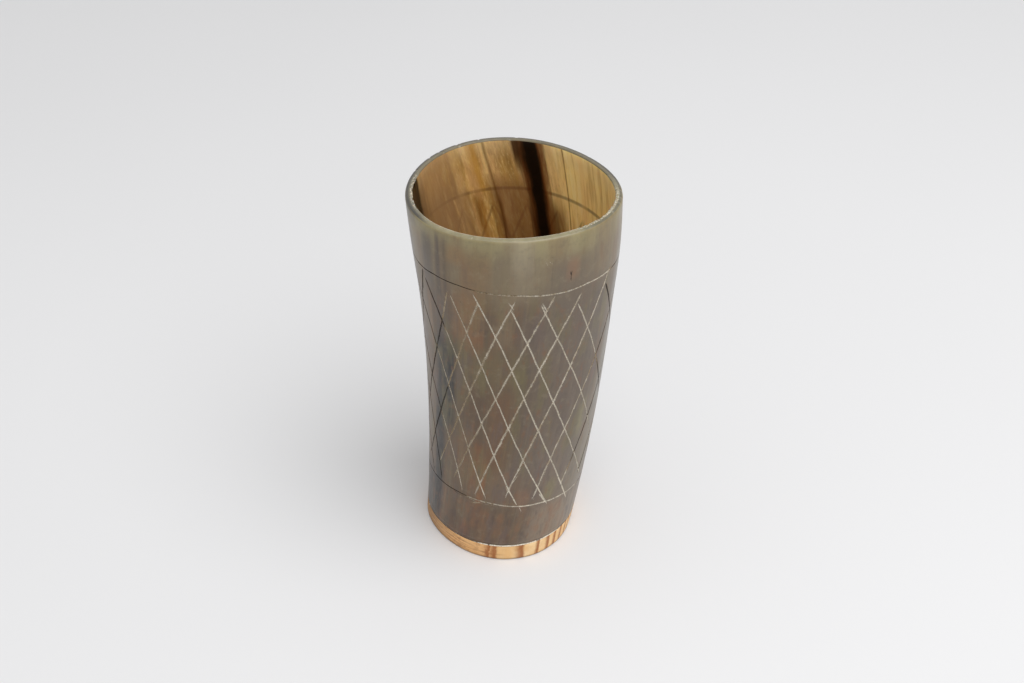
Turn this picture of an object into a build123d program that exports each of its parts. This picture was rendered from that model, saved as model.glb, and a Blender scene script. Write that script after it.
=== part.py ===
# Horn drinking cup: a bowed, tapering tube of cow horn with a plug of pine glued into its narrow end.
# Millimetres, +Z up. The origin is on the table, at the middle of the wooden foot's underside.

import os
from math import cos, exp, radians, sin, tan

from build123d import *

# Outside form, shared by the horn and the foot, which were rubbed down flush together
cup_height = 145.0
foot_radius = 28.6
mouth_radius = 36.5
mouth_shift = 4.8
bow = 3.2

# Band under the rim, left a little fuller than the scraped wall below it
band_swell = 0.8
band_drop = 16.5
band_reach = 20.5

# Out-of-round: an oval part and a three-lobed part, as shares of the radius, and where they point
foot_oval = 0.029
mouth_oval = 0.013
oval_turn = 127.0
foot_lobe = 0.019
mouth_lobe = -0.025
lobe_turn = 42.0

# Horn wall
foot_wall = 3.4
rim_wall = 2.6
rim_outer_round = 1.2
rim_inner_round = 0.5

# Slanted saw cut at the horn's narrow end, and the line of glue in it
seam_height = 7.0
seam_tilt = 2.0
glue_line = 0.3

# Plug of the foot in the horn's bore, and the coat that seals it
plug_height = 9.0
plug_gap = 0.3
seal_thickness = 1.2
foot_round = 0.6

# Cut rings that bound the lattice: the upper one below the rim, the lower one above the seam
ring_width = 0.7
ring_depth = 0.35
upper_ring_drop = 20.0
upper_ring_tilt_x = -2.1
upper_ring_tilt_y = 1.9
lower_ring_rise = 19.3
lower_ring_tilt_x = -1.7
lower_ring_tilt_y = -4.3

# How finely the form is drawn, where its sections start and how far cuts run past what they cut
section_count = 11
section_points = 12
section_start = 90.0
overrun = 4.0


def axis_at(height):
    share = height / cup_height
    return mouth_shift * share + 4 * bow * share * (1 - share)


def radius_at(angle, height):
    share = height / cup_height
    straight = foot_radius + (mouth_radius - foot_radius) * share
    swell = band_swell * exp(-(((height - cup_height + band_drop) / band_reach) ** 2))
    oval = foot_oval + (mouth_oval - foot_oval) * share
    lobe = foot_lobe + (mouth_lobe - foot_lobe) * share
    oval_swell = oval * cos(2 * (angle - radians(oval_turn)))
    lobe_swell = lobe * cos(3 * (angle - radians(lobe_turn)))
    return (straight + swell) * (1 + oval_swell + lobe_swell)


def wall_at(height):
    return foot_wall + (rim_wall - foot_wall) * height / cup_height


def slanted_plane(height, tilt_x, tilt_y):
    return Plane(origin=(0, 0, height), z_dir=(-tan(radians(tilt_x)), -tan(radians(tilt_y)), 1))


# One closed section of the form, drawn in from the outside by inset
def draw_section(height, inset, plane):
    points = []
    for step in range(section_points):
        angle = radians(section_start + 360 * step / section_points)
        radius = radius_at(angle, height) - inset
        points.append((axis_at(height) + radius * cos(angle), radius * sin(angle)))
    with BuildSketch(plane) as section:
        with BuildLine():
            Spline(*points, periodic=True)
        make_face()
    return section.sketch


# Sections of the form between two heights, with inset_at giving how far each is drawn in
def form_sections(bottom, top, inset_at):
    heights = [bottom + (top - bottom) * step / (section_count - 1) for step in range(section_count)]
    return [draw_section(height, inset_at(height), Plane.XY.offset(height)) for height in heights]


shoulder_plane = slanted_plane(seam_height, seam_tilt, 0)
horn_end_plane = shoulder_plane.offset(glue_line)
plug_top_plane = horn_end_plane.offset(plug_height)
seal_top_plane = plug_top_plane.offset(seal_thickness)
upper_ring_plane = slanted_plane(cup_height - upper_ring_drop, upper_ring_tilt_x, upper_ring_tilt_y)
lower_ring_plane = slanted_plane(seam_height + lower_ring_rise, lower_ring_tilt_x, lower_ring_tilt_y)

# Whole outside form, the hollow in it and the form at the bottom of the cut rings
with BuildPart() as outside:
    loft(form_sections(0, cup_height, lambda height: 0))

with BuildPart() as hollow:
    loft(form_sections(-overrun, cup_height + overrun, wall_at))

with BuildPart() as ring_cuts:
    for ring_plane in (upper_ring_plane, lower_ring_plane):
        with BuildSketch(ring_plane):
            Circle(mouth_radius + foot_radius)
        extrude(amount=ring_width / 2, both=True)
    loft(form_sections(-overrun, cup_height + overrun, lambda height: ring_depth), mode=Mode.SUBTRACT)

# Horn: the whole tube, sawn off at the seam and open at the mouth
with BuildPart() as horn_body:
    add(outside.part)
    split(bisect_by=horn_end_plane, keep=Keep.TOP)
    add(hollow.part, mode=Mode.SUBTRACT)
    fillet(horn_body.faces().sort_by(Axis.Z)[-1].edges().sort_by(SortBy.LENGTH)[-1], rim_outer_round)
    fillet(horn_body.faces().sort_by(Axis.Z)[-1].edges().sort_by(SortBy.LENGTH)[0], rim_inner_round)
    add(ring_cuts.part, mode=Mode.SUBTRACT)
horn_body.part.label = "horn_body"

# Plug: stands up the leaning bore, a little smaller than the bore is at the seam
bore_lean = (axis_at(seam_height + plug_height) - axis_at(seam_height), 0, plug_height)
plug_inset = wall_at(seam_height) + plug_gap

with BuildPart() as plug:
    plug_section = draw_section(seam_height, plug_inset, Plane.XY.offset(seam_height / 2))
    extrude(plug_section, amount=seam_height + 2 * plug_height, dir=bore_lean)
    split(bisect_by=plug_top_plane, keep=Keep.BOTTOM)

# Foot: a pine disc flush with the horn, in one piece with its plug
with BuildPart() as wood_base:
    add(outside.part)
    split(bisect_by=shoulder_plane, keep=Keep.BOTTOM)
    fillet(wood_base.faces().sort_by(Axis.Z)[0].edges(), foot_round)
    add(plug.part)
wood_base.part.label = "wood_base"

# Glue: the thin line under the horn's end and the sleeve around the plug, as one cast piece
with BuildPart() as bore_space:
    add(hollow.part)
    split(bisect_by=shoulder_plane, keep=Keep.TOP)
    split(bisect_by=plug_top_plane, keep=Keep.BOTTOM)

with BuildPart() as glue_seam:
    add(outside.part)
    split(bisect_by=shoulder_plane, keep=Keep.TOP)
    split(bisect_by=horn_end_plane, keep=Keep.BOTTOM)
    add(bore_space.part)
    add(plug.part, mode=Mode.SUBTRACT)
glue_seam.part.label = "glue_seam"

# Seal: a coat poured over the plug from inside, up to the horn wall
with BuildPart() as base_seal:
    add(hollow.part)
    split(bisect_by=plug_top_plane, keep=Keep.TOP)
    split(bisect_by=seal_top_plane, keep=Keep.BOTTOM)
base_seal.part.label = "base_seal"

os.makedirs("parts", exist_ok=True)
export_step(horn_body.part, "parts/horn_body.step")
export_step(wood_base.part, "parts/wood_base.step")
export_step(glue_seam.part, "parts/glue_seam.step")
export_step(base_seal.part, "parts/base_seal.step")
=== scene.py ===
import math

import bpy
import numpy as np
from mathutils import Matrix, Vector
from mathutils.geometry import delaunay_2d_cdt


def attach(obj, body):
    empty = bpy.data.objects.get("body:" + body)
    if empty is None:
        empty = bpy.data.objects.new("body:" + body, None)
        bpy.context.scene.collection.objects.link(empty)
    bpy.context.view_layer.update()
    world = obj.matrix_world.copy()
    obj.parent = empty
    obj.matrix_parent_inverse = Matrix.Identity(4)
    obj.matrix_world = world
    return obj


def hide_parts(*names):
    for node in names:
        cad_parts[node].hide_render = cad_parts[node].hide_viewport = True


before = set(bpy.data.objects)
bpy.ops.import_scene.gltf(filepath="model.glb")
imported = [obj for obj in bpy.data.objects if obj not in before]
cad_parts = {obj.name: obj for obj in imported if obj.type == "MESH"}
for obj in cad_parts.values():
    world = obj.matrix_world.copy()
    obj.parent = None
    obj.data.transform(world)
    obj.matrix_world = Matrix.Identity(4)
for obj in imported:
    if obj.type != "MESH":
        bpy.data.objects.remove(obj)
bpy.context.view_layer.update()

# Horn drinking cup: a horn wall with cut rings and lattice, a pine foot, glue between them and a seal coat
scene = bpy.context.scene
mm = 0.001
print("frame loaded, nodes:", ", ".join(sorted(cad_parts)))


def tone(red, green, blue):
    # a colour as it looks on screen, 0 to 255, turned to the shader's own scale
    parts = [value / 255 for value in (red, green, blue)]
    return tuple(p / 12.92 if p <= 0.04045 else ((p + 0.055) / 1.055) ** 2.4 for p in parts) + (1.0,)


class Wire:
    # one socket of a node tree, so that sums on sockets read as plain sums
    def __init__(self, tree, socket=None):
        self.tree, self.socket = tree, socket

    def node(self, kind, settings=None, inputs=None, output=0):
        made = self.tree.nodes.new(kind)
        for name, value in (settings or {}).items():
            setattr(made, name, value)
        for name, value in (inputs or {}).items():
            if isinstance(value, Wire):
                self.tree.links.new(value.socket, made.inputs[name])
            else:
                made.inputs[name].default_value = value
        return Wire(self.tree, made.outputs[output] if len(made.outputs) else None)

    def other(self, output):
        return Wire(self.tree, self.socket.node.outputs[output])

    def maths(self, operation, first, second=0.0):
        return self.node("ShaderNodeMath", {"operation": operation}, {0: first, 1: second})

    def __add__(self, value):
        return self.maths("ADD", self, value)

    def __radd__(self, value):
        return self.maths("ADD", value, self)

    def __sub__(self, value):
        return self.maths("SUBTRACT", self, value)

    def __rsub__(self, value):
        return self.maths("SUBTRACT", value, self)

    def __mul__(self, value):
        return self.maths("MULTIPLY", self, value)

    def __rmul__(self, value):
        return self.maths("MULTIPLY", value, self)

    def __truediv__(self, value):
        return self.maths("DIVIDE", self, value)

    def __pow__(self, value):
        return self.maths("POWER", self, value)

    def __abs__(self):
        return self.maths("ABSOLUTE", self)

    def least(self, value):
        return self.maths("MINIMUM", self, value)

    def most(self, value):
        return self.maths("MAXIMUM", self, value)

    def rise(self, low, high):
        # 0 below low, 1 above high, smooth between; low above high gives a fall
        return self.node("ShaderNodeMapRange", {"interpolation_type": "SMOOTHSTEP"},
                         {"Value": self, "From Min": low, "From Max": high, "To Min": 0.0, "To Max": 1.0})

    def blend(self, base, over):
        # base where this wire is 0, over where it is 1
        return self.node("ShaderNodeMix", {"data_type": "RGBA"}, {0: self, 6: base, 7: over}, 2)

    def scaled(self, value):
        return self.node("ShaderNodeVectorMath", {"operation": "MULTIPLY"}, {0: self, 1: value})

    def noise(self, scale, detail, roughness):
        return self.node("ShaderNodeTexNoise", {}, {"Vector": self, "Scale": scale, "Detail": detail,
                                                    "Roughness": roughness})

    def split(self):
        across = self.node("ShaderNodeSeparateXYZ", {}, {0: self})
        return across, across.other("Y"), across.other("Z")

    def join(self, across, away, up):
        return self.node("ShaderNodeCombineXYZ", {}, {0: across, 1: away, 2: up})

    def stored(self, name, output="Fac"):
        # a value kept on the points of the mesh
        return self.node("ShaderNodeAttribute", {"attribute_name": name}, {}, output)

    def inMillimetres(self):
        return self.node("ShaderNodeTexCoord", {}, {}, "Object").scaled((1 / mm, 1 / mm, 1 / mm))

    def bump(self, strength, height, distance=0.2):
        return self.node("ShaderNodeBump", {}, {"Strength": strength, "Height": height,
                                                "Distance": distance * mm})


# The form that every piece follows, the same rule as the solids: mm and degrees
hornForm = {
    "Cup height": 145.0, "Foot radius": 28.6, "Mouth radius": 36.5, "Mouth shift": 4.8, "Bow": 3.2,
    "Band swell": 0.8, "Band drop": 16.5, "Band reach": 20.5,
    "Foot oval": 0.029, "Mouth oval": 0.013, "Oval turn": 127.0,
    "Foot lobe": 0.019, "Mouth lobe": -0.025, "Lobe turn": 42.0, "Seam tilt": 2.0,
}
wallForm = {
    "footWall": 3.4, "rimWall": 2.6, "hornEnd": 7.3, "shoulder": 7.0, "plugTop": 16.3, "sealTop": 17.5,
    "plugGap": 0.3, "slantFade": 20.0,
}
sheetStart = 90.0                  # degrees; every sheet is joined at the back
mergeGap = 0.002                   # mm; points nearer than this become one
zoneNames = ("Outside", "Rim", "Inside")


def formPoint(angle, height):
    # numpy twin of the tree's rule, for placing cuts
    share = height / hornForm["Cup height"]
    mean = hornForm["Foot radius"] + (hornForm["Mouth radius"] - hornForm["Foot radius"]) * share
    fromBand = (height - hornForm["Cup height"] + hornForm["Band drop"]) / hornForm["Band reach"]
    mean = mean + hornForm["Band swell"] * np.exp(-fromBand * fromBand)
    oval = hornForm["Foot oval"] + (hornForm["Mouth oval"] - hornForm["Foot oval"]) * share
    lobe = hornForm["Foot lobe"] + (hornForm["Mouth lobe"] - hornForm["Foot lobe"]) * share
    radius = mean * (1 + oval * np.cos(2 * (angle - math.radians(hornForm["Oval turn"])))
                     + lobe * np.cos(3 * (angle - math.radians(hornForm["Lobe turn"]))))
    axis = hornForm["Mouth shift"] * share + 4 * hornForm["Bow"] * share * (1 - share)
    return axis + radius * np.cos(angle), radius * np.sin(angle)


def wallAt(height):
    thinner = wallForm["rimWall"] - wallForm["footWall"]
    return wallForm["footWall"] + thinner * height / hornForm["Cup height"]


def plugInset(height):
    # the plug stands straight, so the widening horn leaves it further in
    lift = (hornForm["Mouth radius"] - hornForm["Foot radius"]) / hornForm["Cup height"]
    shoulder = wallForm["shoulder"]
    return wallAt(shoulder) + wallForm["plugGap"] + lift * (height - shoulder)


def makeWrapTree():
    # wraps a flat sheet of (angle, height, inset) onto the form; fill draws points in to the axis
    tree = bpy.data.node_groups.new("wrapOnForm", "GeometryNodeTree")
    tree.interface.new_socket("Sheet", in_out="INPUT", socket_type="NodeSocketGeometry")
    for name in hornForm:
        tree.interface.new_socket(name, in_out="INPUT", socket_type="NodeSocketFloat")
    for name in zoneNames:
        tree.interface.new_socket(name, in_out="INPUT", socket_type="NodeSocketMaterial")
    tree.interface.new_socket("Piece", in_out="OUTPUT", socket_type="NodeSocketGeometry")
    board = Wire(tree)
    given = board.node("NodeGroupInput")
    size = {name: given.other(name) for name in hornForm}

    def named(name, kind="FLOAT"):
        return board.node("GeometryNodeInputNamedAttribute", {"data_type": kind}, {"Name": name})

    angle, height, inset = board.node("GeometryNodeInputPosition").split()
    cosine, sine = board.maths("COSINE", angle), board.maths("SINE", angle)
    ovalSwell = board.maths("COSINE", 2 * (angle - size["Oval turn"]))
    lobeSwell = board.maths("COSINE", 3 * (angle - size["Lobe turn"]))

    def placeAt(level):
        share = level / size["Cup height"]
        mean = size["Foot radius"] + (size["Mouth radius"] - size["Foot radius"]) * share
        fromBand = (level - size["Cup height"] + size["Band drop"]) / size["Band reach"]
        mean = mean + size["Band swell"] * board.maths("EXPONENT", -1 * (fromBand * fromBand))
        oval = size["Foot oval"] + (size["Mouth oval"] - size["Foot oval"]) * share
        lobe = size["Foot lobe"] + (size["Mouth lobe"] - size["Foot lobe"]) * share
        radius = (mean * (1 + oval * ovalSwell + lobe * lobeSwell) - inset) * named("fill")
        axis = size["Mouth shift"] * share + 4 * size["Bow"] * share * (1 - share)
        return axis + radius * cosine, radius * sine

    across, _ = placeAt(height)
    level = height + named("slant") * board.maths("TANGENT", size["Seam tilt"]) * across
    across, away = placeAt(level)
    place = board.join(across, away, level)
    piece = board.node("GeometryNodeSetPosition", {}, {"Geometry": given, "Position": place})
    piece = board.node("GeometryNodeMergeByDistance", {}, {"Geometry": piece, "Distance": mergeGap * mm})
    piece = board.node("GeometryNodeRealizeInstances", {}, {"Geometry": piece})
    for zone, name in enumerate(zoneNames):
        chosen = board.node("FunctionNodeCompare", {"data_type": "INT", "operation": "EQUAL"},
                            {2: named("zone", "INT"), 3: zone})
        piece = board.node("GeometryNodeSetMaterial", {},
                           {"Geometry": piece, "Selection": chosen, "Material": given.other(name)})
    board.node("NodeGroupOutput", {}, {0: piece})
    return tree


wrapTree = makeWrapTree()


def addValues(mesh, name, kind, domain, values):
    field = "vector" if kind == "FLOAT_VECTOR" else "value"
    mesh.attributes.new(name, kind, domain).data.foreach_set(field, np.asarray(values).ravel())


def flatMesh(name, sheet):
    # sheet: points (radians, mm, mm), faces and their zones, map, sharp edges and values on points
    mesh = bpy.data.meshes.new(name)
    points = np.array(sheet["points"], float)
    points[:, 1:] *= mm
    mesh.from_pydata(points.tolist(), [], sheet["faces"], shade_flat=False)
    for label, values in sheet["values"].items():
        kind = "FLOAT_VECTOR" if np.ndim(values) == 2 else "FLOAT"
        addValues(mesh, label, kind, "POINT", np.asarray(values, np.float32))
    addValues(mesh, "zone", "INT", "FACE", np.asarray(sheet["zones"], np.int32))
    corners = np.zeros(len(mesh.loops), np.int32)
    mesh.loops.foreach_get("vertex_index", corners)
    bakeMap = mesh.uv_layers.new(name="OFBake")
    bakeMap.data.foreach_set("uv", np.asarray(sheet["map"], np.float32)[corners].ravel())
    if len(sheet.get("sharp", ())):
        ends = np.zeros(len(mesh.edges) * 2, np.int32)
        mesh.edges.foreach_get("vertices", ends)
        keys = {(min(a, b), max(a, b)) for a, b in sheet["sharp"]}
        marks = [(min(a, b), max(a, b)) in keys for a, b in ends.reshape(-1, 2).tolist()]
        addValues(mesh, "sharp_edge", "BOOLEAN", "EDGE", marks)
    return mesh


def wrapSheet(name, sheet, materials):
    mesh = flatMesh(name, sheet)
    piece = bpy.data.objects.new(name, mesh)
    scene.collection.objects.link(piece)
    wrap = piece.modifiers.new("wrap", "NODES")
    wrap.node_group = wrapTree
    for item in wrapTree.interface.items_tree:
        if item.in_out == "INPUT" and item.name in hornForm:
            value = hornForm[item.name]
            if "turn" in item.name or "tilt" in item.name:
                value = math.radians(value)
            elif "oval" not in item.name and "lobe" not in item.name:
                value *= mm
            wrap[item.identifier] = value
        elif item.in_out == "INPUT" and item.name in zoneNames:
            wrap[item.identifier] = materials[min(zoneNames.index(item.name), len(materials) - 1)]
    graph = bpy.context.evaluated_depsgraph_get()
    made = bpy.data.meshes.new_from_object(piece.evaluated_get(graph), preserve_all_data_layers=True,
                                           depsgraph=graph)
    piece.modifiers.remove(wrap)
    piece.data = made
    bpy.data.meshes.remove(mesh)
    made.name = name
    for label in ("fill", "slant", "zone"):
        made.attributes.remove(made.attributes[label])
    print(name, "made:", len(made.vertices), "points,", len(made.polygons), "faces")
    return piece


def smoothShare(value, low, high):
    share = np.clip((value - low) / (high - low), 0, 1)
    return share * share * (3 - 2 * share)


def slowWave(rng, count, reach, parts=5):
    # a smooth seeded line between about -1 and 1
    along = np.linspace(0, 1, count)
    total = np.zeros(count)
    for part in range(parts):
        turns = reach * (0.35 + part) * rng.uniform(0.8, 1.2)
        total += np.sin(2 * math.pi * (turns * along + rng.random())) / (1 + 0.5 * part)
    return total / 2.2


def frontAngle(degrees):
    # degrees round from the front of the cup, left below zero
    return (np.asarray(degrees) + 90 + 180) % 360 - 180


# Hand-cut lines: mm, and degrees round from +X
latticeCuts = {
    "seed": 11, "dustSeed": 7, "perTurn": 19, "slope": 0.70, "step": 0.8, "stretch": 1.12,
    "slipStep": 0.5, "ringPoints": 300, "flatScale": 33.0, "perDegree": 0.58, "joinSpare": 3.0, "reach": 1.5,
    "margin": 0.3, "burr": 0.025, "fullDepth": 0.25, "crispWidth": 0.62, "crispDepth": 0.27,
    "roughWidth": 0.70, "roughDepth": 0.22,
    "waveLength": 26.0, "shortest": 12.0, "steadyEnds": 8.0, "startTaper": 1.2, "endTaper": 1.8,
    # a smooth cut's value and what roughness adds to it
    "wander": (0.14, 0.0), "shake": (0.012, 0.02), "gripWave": (0.10, 0.14), "gripShake": (0.05, 0.03),
    "biteWave": (0.2, 0.0), "biteShake": (0.06, 0.16), "dustWave": (0.12, 0.05), "dustShake": (0.06, 0.0),
    # strokes on the far side: heights they start and end between, and unevenness of their spacing
    "farTops": (117.5, 121.5), "farEnds": (27.0, 34.0), "farShake": 0.5,
    # each stroke: angle and height at its top, angles at the two levels, angle and height at its end
    "levels": (90.0, 50.0),
    "crisp": [
        (-207.0, 118.0, -184.0, -157.2, -147.9, 29.1), (-189.0, 118.0, -168.0, -136.4, -125.4, 31.3),
        (-168.6, 119.0, -143.8, -119.2, -105.9, 31.0), (-147.8, 120.6, -125.6, -100.1, -83.5, 28.8),
        (-127.2, 119.6, -109.0, -81.6, -61.4, 26.6), (-112.4, 122.6, -91.0, -64.2, -42.5, 23.8),
        (-92.4, 118.6, -75.0, -46.0, -28.6, 31.0), (-75.7, 119.4, -55.6, -25.3, -9.5, 29.0),
        (-53.9, 116.4, -35.0, -6.9, 9.0, 27.0), (-33.0, 119.0, -10.5, 17.5, 33.0, 29.0),
    ],
    "rough": [
        (-149.3, 123.8, -170.5, -198.0, -209.0, 33.0), (-129.2, 120.6, -147.0, -175.0, -186.0, 33.0),
        (-110.3, 119.4, -128.6, -156.1, -168.9, 34.0), (-92.0, 118.6, -112.0, -139.6, -150.7, 36.4),
        (-68.6, 122.0, -93.5, -122.3, -133.3, 34.6), (-52.6, 120.4, -77.0, -103.2, -113.8, 31.4),
        (-30.3, 124.6, -56.6, -82.8, -91.6, 33.0), (-9.3, 119.0, -33.3, -63.4, -72.4, 32.0),
        (11.0, 119.0, -11.5, -41.0, -52.0, 33.5),
    ],
    # front angles between which the cuts are pale, with dust and painted light on the lit front and right:
    # left edge high and low, the heights between, right edge at the middle and how it moves with each mm of
    # height
    "crispPale": (-45.0, -56.0, 102.0, 92.0, 57.5, -0.28),
    "roughPale": (-47.0, -62.0, 66.0, 50.0, 55.0, 0.24),
    "middle": 88.0, "dullSide": (-34.0, -12.0), "lowEnds": (30.0, 50.0), "ringRight": (58.0, 66.0),
    # front angles past which strokes and rings are dusty again, and widths where no dust lies, as shares
    "rear": 102.0, "rearSpread": 16.0, "rearFade": 14.0, "ringRear": (104.0, 122.0),
    "darkStroke": 1.28, "darkRing": 0.8, "slipRough": 0.5, "ringRough": 0.35,
    # small ticks and slips: angle and height at both ends, width, depth, paleness
    "slips": [
        (-93.4, 121.2, -90.6, 118.2, 0.5, 0.16, 1.0), (-90.0, 121.4, -92.4, 118.0, 0.5, 0.16, 1.0),
        (-84.7, 43.6, -91.2, 36.2, 0.4, 0.12, 0.8), (-65.0, 47.9, -67.0, 41.0, 0.4, 0.12, 0.8),
        (-92.6, 38.0, -89.5, 34.2, 0.4, 0.14, 0.8), (-68.8, 33.1, -61.8, 26.8, 0.6, 0.18, 1.0),
        (-81.4, 27.4, -79.8, 25.4, 0.6, 0.2, 1.0), (-117.8, 57.6, -127.6, 41.2, 0.35, 0.1, 0.8),
        (-115.6, 26.4, -109.0, 27.7, 0.75, 0.2, 0.62), (-59.2, 129.2, -59.3, 128.1, 0.8, 0.3, 0.0),
        (-74.9, 119.9, -72.6, 116.6, 0.7, 0.2, 1.0), (-69.3, 135.2, -72.0, 137.2, 0.35, 0.06, 0.9),
        (-71.5, 134.2, -73.4, 136.8, 0.3, 0.06, 0.8),
    ],
    # rings: dust and painted light start at a front angle, and the hand wandered by mm at the given front
    # angles
    "rings": [
        {"height": 125.0, "tilt": (-2.1, 1.9), "width": 0.60, "depth": 0.33, "run": None,
         "dustFrom": -22, "dusty": 1.0,
         "wanderAt": (-130, -76, -64, -55, -48, -31, -18, 4, 12, 28, 41, 55, 110),
         "wander": (0.0, -0.8, -0.8, -0.3, 0.45, 0.8, 0.4, 0.55, 0.2, 0.15, 0.8, 0.6, 0.0)},
        {"height": 26.3, "tilt": (-1.7, -4.3), "width": 0.66, "depth": 0.35, "run": None,
         "dustFrom": -32, "dusty": 1.25,
         "wanderAt": (-125, -71, -58, -47, -39, -12, 2, 12, 22, 38, 60),
         "wander": (0.0, -0.7, -0.5, -0.3, 0.0, 0.0, -0.4, -0.4, 0.0, 0.1, 0.0)},
        {"height": 25.6, "tilt": (-1.7, -4.0), "width": 0.3, "depth": 0.12, "run": (-134, -96),
         "dustFrom": -32, "dusty": 1.0, "wanderAt": (-44, -6), "wander": (0.0, 0.0)},
    ],
}


def cutLine(rng, angles, heights, width, depth, rough, paleness,
            tapers=True, darkShare=latticeCuts["darkStroke"]):
    # one cut as a line on the flat sheet, with its half width, depth and dust at each point
    def amount(name):
        smooth, added = latticeCuts[name]
        return smooth + added * rough

    across = np.radians(np.asarray(angles) - sheetStart) * latticeCuts["flatScale"]
    line = np.stack([across, np.asarray(heights, float)], -1)
    count = len(line)
    lengths = np.concatenate([[0], np.cumsum(np.hypot(*np.diff(line, axis=0).T))])
    toEnd = lengths[-1] - lengths
    waves = max(lengths[-1] / latticeCuts["waveLength"], 1)
    heading = np.gradient(line, axis=0)
    heading /= np.linalg.norm(heading, axis=1)[:, None]
    side = np.stack([-heading[:, 1], heading[:, 0]], -1)
    if tapers and lengths[-1] > latticeCuts["shortest"]:
        steady = latticeCuts["steadyEnds"]
        ends = smoothShare(lengths, 0, steady) * smoothShare(toEnd, 0, steady)
        line = line + side * (slowWave(rng, count, waves) * amount("wander") * ends)[:, None]
        line = line + side * (rng.normal(0, amount("shake"), count) * ends)[:, None]
    taper = np.ones(count)
    if tapers:
        taper = smoothShare(lengths, 0, latticeCuts["startTaper"])
        taper = 0.45 + 0.55 * taper * smoothShare(toEnd, 0, latticeCuts["endTaper"])
    grip = 1 + amount("gripWave") * slowWave(rng, count, waves * 2)
    grip = grip + rng.normal(0, amount("gripShake"), count)
    filled = darkShare + (1 - darkShare) * np.clip(paleness, 0, 1)
    halves = width / 2 * taper * np.clip(grip, 0.45, 1.6) * filled
    bite = 1 + amount("biteWave") * slowWave(rng, count, waves * 2)
    bite = bite + rng.normal(0, amount("biteShake"), count)
    depths = depth * taper * np.clip(bite, 0.3, 1.4)
    patchy = amount("dustWave") * slowWave(rng, count, waves * 2)
    patchy = patchy + rng.normal(0, amount("dustShake"), count)
    dustAndLight = paleness * np.clip(0.92 + patchy, 0, 1.1)
    return {"line": line, "side": side, "halves": halves, "depths": depths, "dustAndLight": dustAndLight, "rough": rough}


def farStrokes(rng, given, lean):
    # the strokes on the far side, evenly spaced by hand
    upper, lower = latticeCuts["levels"]
    places = sorted(stroke[2] for stroke in given)
    gap = places[0] + 360 - places[-1]
    hidden = round(gap / (360 / latticeCuts["perTurn"])) - 1
    strokes = []
    for index in range(hidden):
        place = places[-1] + gap * (index + 1) / (hidden + 1) + rng.normal(0, latticeCuts["farShake"])
        top, end = rng.uniform(*latticeCuts["farTops"]), rng.uniform(*latticeCuts["farEnds"])
        slope = lean * latticeCuts["slope"] * rng.uniform(0.98, 1.03)
        strokes.append((place + slope * (top - upper), top, place, place + slope * (lower - upper),
                        place + slope * (end - upper), end))
    return strokes


def strokeDustAndLight(kind, rough, front, heights, rear):
    # pale dust and painted light lie on the lit front and right, duller to the left, most of all at the low
    # ends, and dust again past the rear angle
    leftHigh, leftLow, high, low, right, drift = latticeCuts[kind + "Pale"]
    right = right + drift * (heights - latticeCuts["middle"])
    left = leftLow + (leftHigh - leftLow) * smoothShare(heights, low, high)
    dustAndLight = smoothShare(front, left - 2, left + 2) * (1 - smoothShare(front, right - 4, right + 4))
    dull = 0.20 + 0.10 * rough
    dustAndLight = dustAndLight * (1 - dull + dull * smoothShare(front, *latticeCuts["dullSide"])) * (1.0 - 0.20 * rough)
    dustAndLight = dustAndLight * (1.3 - 0.3 * smoothShare(heights, *latticeCuts["lowEnds"]))
    fade = latticeCuts["rearFade"]
    return np.maximum(dustAndLight, (0.92 - 0.2 * rough) * smoothShare(np.abs(front), rear - fade, rear + fade))


def latticeStrokes(rng):
    cuts = []
    ages = np.random.default_rng(latticeCuts["dustSeed"])
    for kind, lean, rough in (("crisp", -1, 0.0), ("rough", 1, 1.0)):
        strokes = latticeCuts[kind] + farStrokes(rng, latticeCuts[kind], lean)
        for topAngle, top, upperAngle, lowerAngle, endAngle, end in strokes:
            heights = np.linspace(top, end, int((top - end) * latticeCuts["stretch"] / latticeCuts["step"]))
            levels = (top, *latticeCuts["levels"], end)
            curve = np.polyfit(levels, (topAngle, upperAngle, lowerAngle, endAngle), 3)
            angles = np.polyval(curve, heights)
            rear = latticeCuts["rear"] + ages.uniform(-latticeCuts["rearSpread"], latticeCuts["rearSpread"])
            paleness = strokeDustAndLight(kind, rough, frontAngle(angles), heights, rear)
            width = latticeCuts[kind + "Width"] * rng.uniform(0.92, 1.08)
            cuts.append(cutLine(rng, angles, heights, width, latticeCuts[kind + "Depth"], rough, paleness))
    return cuts


def slipCuts(rng):
    cuts = []
    for startAngle, start, endAngle, end, width, depth, paleness in latticeCuts["slips"]:
        length = math.hypot((endAngle - startAngle) * latticeCuts["perDegree"], end - start)
        count = max(4, int(length / latticeCuts["slipStep"]))
        angles, heights = np.linspace(startAngle, endAngle, count), np.linspace(start, end, count)
        cuts.append(cutLine(rng, angles, heights, width, depth, latticeCuts["slipRough"], paleness))
    return cuts


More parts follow.
